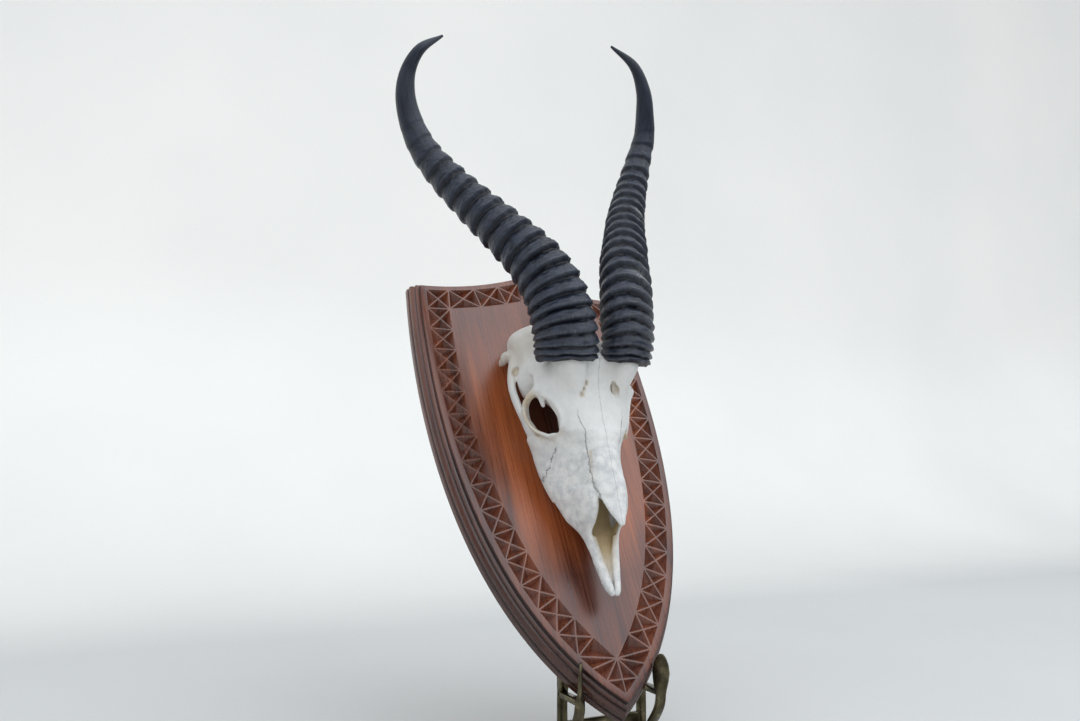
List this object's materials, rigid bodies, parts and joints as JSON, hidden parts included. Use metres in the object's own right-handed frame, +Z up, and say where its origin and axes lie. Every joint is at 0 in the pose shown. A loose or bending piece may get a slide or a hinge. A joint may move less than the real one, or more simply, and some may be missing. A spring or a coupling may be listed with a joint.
{
  "type": "mounted springbok skull",
  "caption": "Antelope skull with ringed lyre-shaped horns, mounted on a chip-carved wooden shield that leans back on a brass easel; a display piece.",
  "frame": {"origin": "middle of the whole object's footprint box, on the floor", "axes": "+Z up, the skull's face and the shield's carved front look along -Y, +X is the right-hand side seen from the front"},
  "size_m": [0.232, 0.1922, 0.5496],
  "materials": {
    "bone": "dry, slightly mottled bone",
    "horn": "satin blue-black horn",
    "wood": "satin red-brown rosewood",
    "brass": "aged, dull olive brass"
  },
  "bodies": {
    "root": {"skull": "bone", "horn_left": "horn", "horn_right": "horn", "shield": "wood", "easel_upright_left": "brass", "easel_upright_right": "brass", "easel_top_bar": "brass", "easel_low_bar": "brass", "easel_rear_leg": "brass"}
  },
  "joints": []
}
